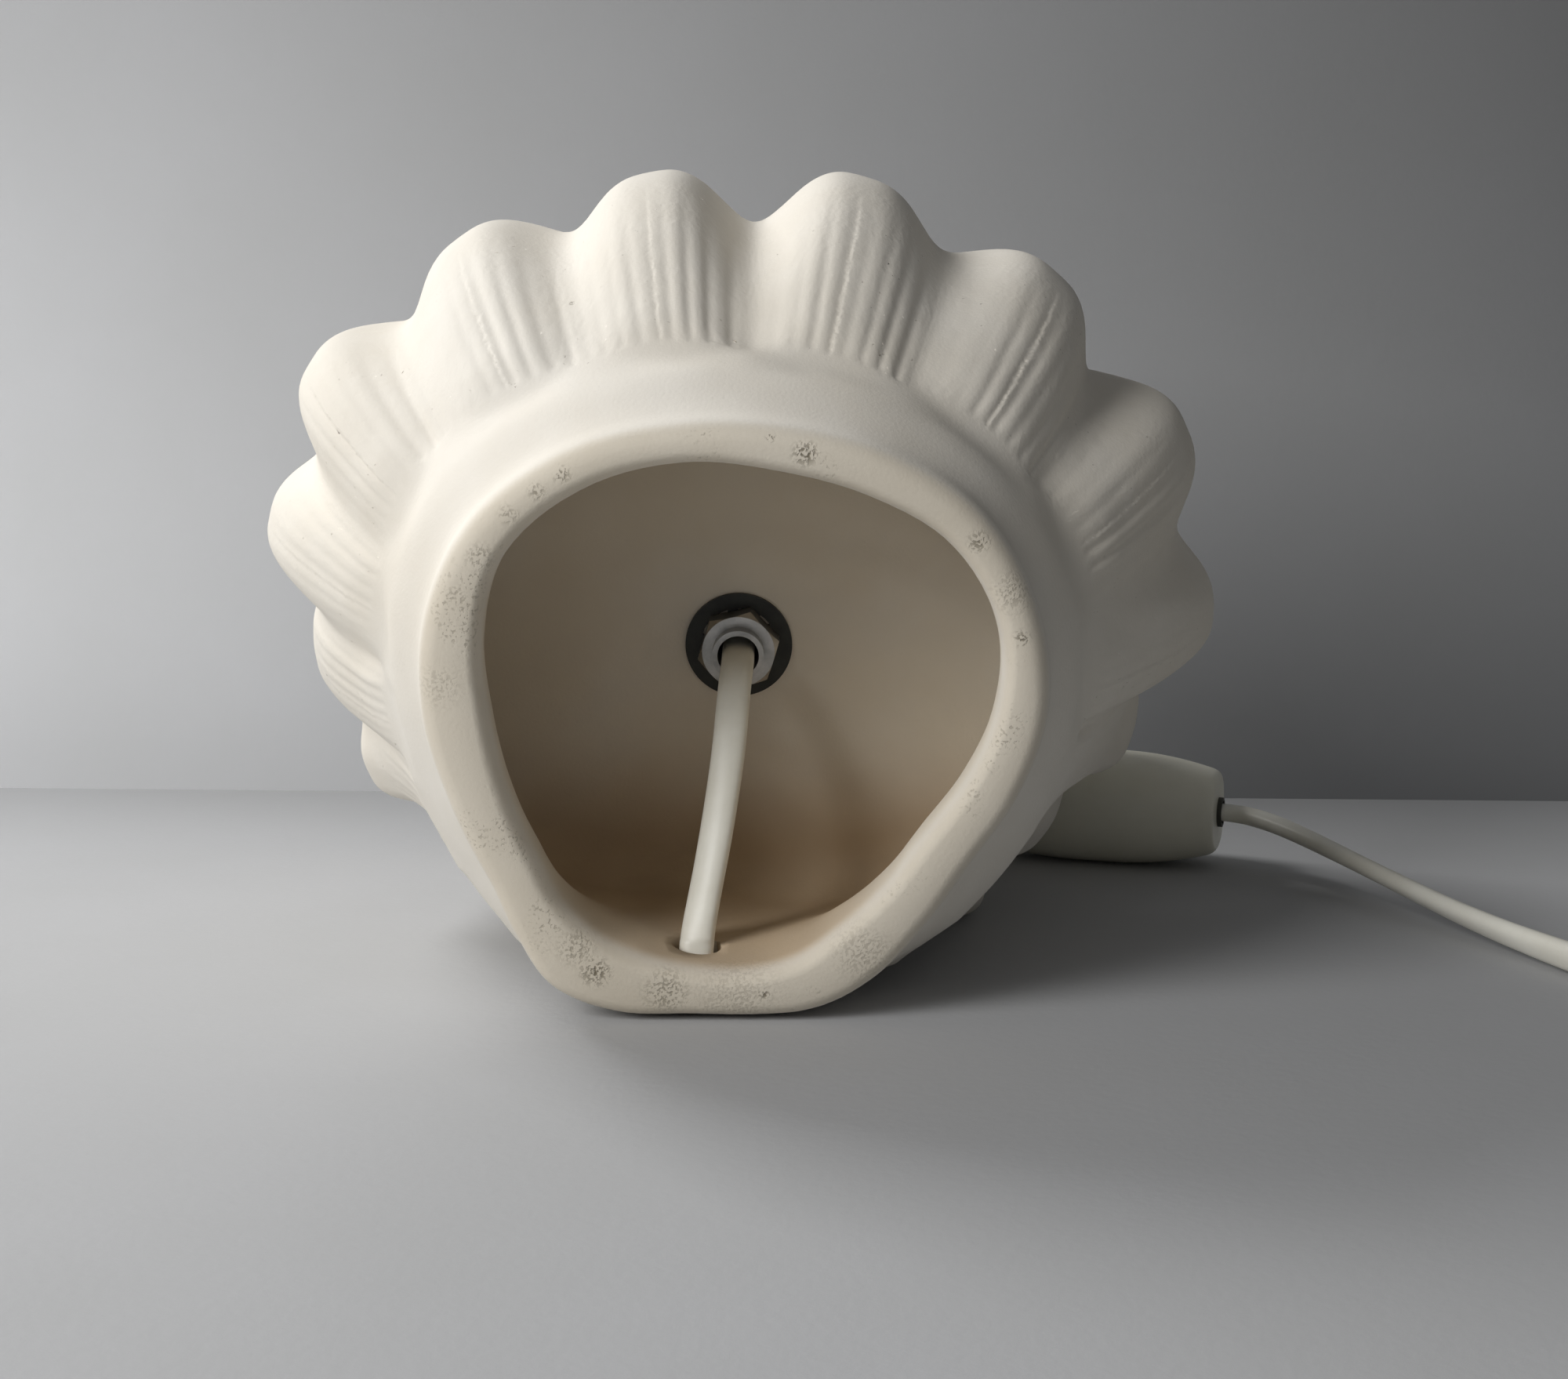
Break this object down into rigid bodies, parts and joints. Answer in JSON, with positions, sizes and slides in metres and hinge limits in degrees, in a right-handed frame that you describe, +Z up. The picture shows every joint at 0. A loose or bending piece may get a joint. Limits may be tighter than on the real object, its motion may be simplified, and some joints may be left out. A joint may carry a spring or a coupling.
{
  "type": "shell table lamp",
  "caption": "Fluted white ceramic scallop-shell lamp lying on its back, hollow open foot, threaded-tube holder and bulb, flat cord with in-line rocker switch, coil and two-pin plug",
  "frame": {"origin": "on the table, under the middle of the shell's bounding box, cord and what is on it left out", "axes": "+Z up from the table; +X to the right of someone who looks into the open foot, along the shell's width; +Y away from them, the way the cup opens"},
  "size_m": [0.3856, 0.1854, 0.1512],
  "materials": {
    "bisque_ceramic": "matt unglazed white ceramic, worn at the rim",
    "zinc_steel": "dull zinc plate",
    "black_steel": "blackened spring steel",
    "holder_black": "satin moulded plastic",
    "white_insulator": "matt",
    "brass": "bare",
    "solder": "dull",
    "black_glass": "glossy black glass",
    "bulb_aluminium": "rolled thread",
    "clear_glass": "clear",
    "cord_ivory": "aged ivory plastic sheath, satin",
    "tie_white": "white strap",
    "switch_cream": "satin, yellowed cream",
    "dark_rubber": "dark collar",
    "plug_cream": "satin moulded plastic",
    "nickel_pins": "nickel plate"
  },
  "bodies": {
    "lamp": {"ceramic_shell": "bisque_ceramic", "threaded_tube": "zinc_steel", "hex_nut": "zinc_steel", "tooth_washer": "black_steel", "seat_washer": "zinc_steel", "holder_cap": "holder_black", "holder_body": "holder_black", "holder_insert": "white_insulator", "terminal_screws": "brass", "screw_shell": "brass", "centre_contact": "brass", "cord_in_tube": "cord_ivory", "lamp_cord": "cord_ivory", "mains_cord": "cord_ivory", "mains_coil": "cord_ivory", "plug_cord": "cord_ivory", "coil_tie": "tie_white", "switch_base": "switch_cream", "switch_cover": "switch_cream", "rocker_pin": "zinc_steel", "switch_screws": "zinc_steel", "switch_terminals": "brass", "switch_contact": "brass", "cord_grommets": "dark_rubber", "plug_sleeve": "plug_cream", "plug_body": "plug_cream", "plug_pins": "nickel_pins"},
    "rocker": {"switch_rocker": "switch_cream"},
    "bulb": {"bulb_tip": "solder", "bulb_insulator": "black_glass", "bulb_cap": "bulb_aluminium", "bulb_glass": "clear_glass"}
  },
  "joints": [
    {"name": "switch_rocker_hinge", "type": "hinge", "parent": "lamp", "child": "rocker", "pos_m": [0.07511, 0.06854, 0.0185], "axis": [0.3256, 0.9455, 0], "range_deg": [0, 16]},
    {"name": "bulb_slide", "type": "slide", "parent": "lamp", "child": "bulb", "axis": [0, 0.9848, 0.1736], "range_m": [0, 0.022]}
  ]
}
